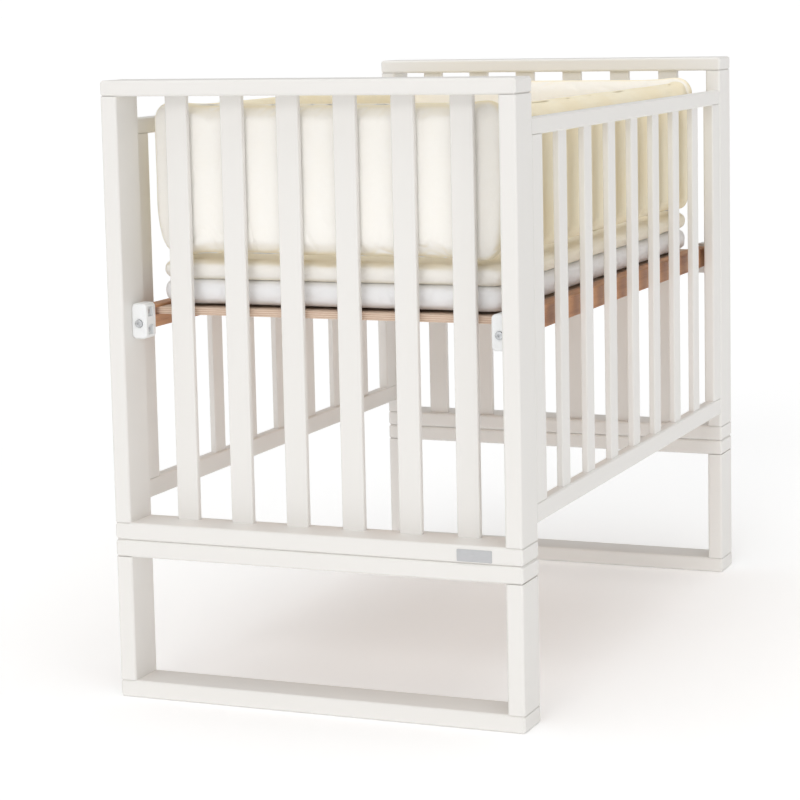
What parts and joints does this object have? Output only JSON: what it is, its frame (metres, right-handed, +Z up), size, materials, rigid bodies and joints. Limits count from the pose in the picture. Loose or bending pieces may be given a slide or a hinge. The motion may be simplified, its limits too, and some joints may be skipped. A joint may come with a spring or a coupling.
{
  "type": "crib",
  "caption": "Mini crib with slatted end and side panels on closed leg frames, a bracketed bed base, a mattress, a topper and bumper pads.",
  "frame": {"origin": "on the floor, below the middle of the crib", "axes": "+Z up; +Y along the crib, away from the near end panel; +X across it, to the right as seen from the near end"},
  "size_m": [0.665, 1.15, 0.95],
  "materials": {
    "painted_wood": "white satin paint",
    "stained_wood": "clear satin varnish",
    "plywood": "bare, sanded",
    "moulded_plastic": "fine texture",
    "zinc_steel": "zinc plated",
    "dowel_wood": "bare",
    "mattress_cover": "woven cotton",
    "topper_cover": "woven cotton",
    "pad_cover": "padded cotton"
  },
  "bodies": {
    "crib": {"near_top_rail": "painted_wood", "near_bottom_rail": "painted_wood", "near_leg_top_rail": "painted_wood", "near_leg_bottom_rail": "painted_wood", "far_top_rail": "painted_wood", "far_bottom_rail": "painted_wood", "far_leg_top_rail": "painted_wood", "far_leg_bottom_rail": "painted_wood", "near_left_post": "painted_wood", "near_right_post": "painted_wood", "far_left_post": "painted_wood", "far_right_post": "painted_wood", "near_left_leg_post": "painted_wood", "near_right_leg_post": "painted_wood", "far_left_leg_post": "painted_wood", "far_right_leg_post": "painted_wood", "near_left_stile": "painted_wood", "near_right_stile": "painted_wood", "far_left_stile": "painted_wood", "far_right_stile": "painted_wood", "near_end_slat_1": "painted_wood", "near_end_slat_2": "painted_wood", "near_end_slat_3": "painted_wood", "near_end_slat_4": "painted_wood", "near_end_slat_5": "painted_wood", "near_end_slat_6": "painted_wood", "far_end_slat_1": "painted_wood", "far_end_slat_2": "painted_wood", "far_end_slat_3": "painted_wood", "far_end_slat_4": "painted_wood", "far_end_slat_5": "painted_wood", "far_end_slat_6": "painted_wood", "left_side_top_rail": "painted_wood", "left_side_bottom_rail": "painted_wood", "left_side_slats": "painted_wood", "right_side_top_rail": "painted_wood", "right_side_bottom_rail": "painted_wood", "right_side_slats": "painted_wood", "bed_platform": "plywood", "left_base_rail": "stained_wood", "right_base_rail": "stained_wood", "near_left_bracket": "moulded_plastic", "near_right_bracket": "moulded_plastic", "far_left_bracket": "moulded_plastic", "far_right_bracket": "moulded_plastic", "leg_bolts": "zinc_steel", "leg_insert_nuts": "zinc_steel", "base_bolts": "zinc_steel", "base_barrel_nuts": "zinc_steel", "bracket_screws": "zinc_steel", "corner_dowels": "dowel_wood"},
    "mattress": {"mattress": "mattress_cover"},
    "topper": {"topper": "topper_cover"},
    "near_bumper_pad": {"near_bumper_pad": "pad_cover"},
    "far_bumper_pad": {"far_bumper_pad": "pad_cover"},
    "left_bumper_pad": {"left_bumper_pad": "pad_cover"},
    "right_bumper_pad": {"right_bumper_pad": "pad_cover"}
  },
  "joints": [
    {"name": "mattress_lift", "type": "slide", "parent": "crib", "child": "mattress", "axis": [0, 0, 1], "range_m": [0, 0.3]},
    {"name": "topper_lift", "type": "slide", "parent": "mattress", "child": "topper", "axis": [0, 0, 1], "range_m": [0, 0.3]},
    {"name": "near_pad_lift", "type": "slide", "parent": "topper", "child": "near_bumper_pad", "axis": [0, 0, 1], "range_m": [0, 0.3]},
    {"name": "far_pad_lift", "type": "slide", "parent": "topper", "child": "far_bumper_pad", "axis": [0, 0, 1], "range_m": [0, 0.3]},
    {"name": "left_pad_lift", "type": "slide", "parent": "topper", "child": "left_bumper_pad", "axis": [0, 0, 1], "range_m": [0, 0.3]},
    {"name": "right_pad_lift", "type": "slide", "parent": "topper", "child": "right_bumper_pad", "axis": [0, 0, 1], "range_m": [0, 0.3]}
  ]
}
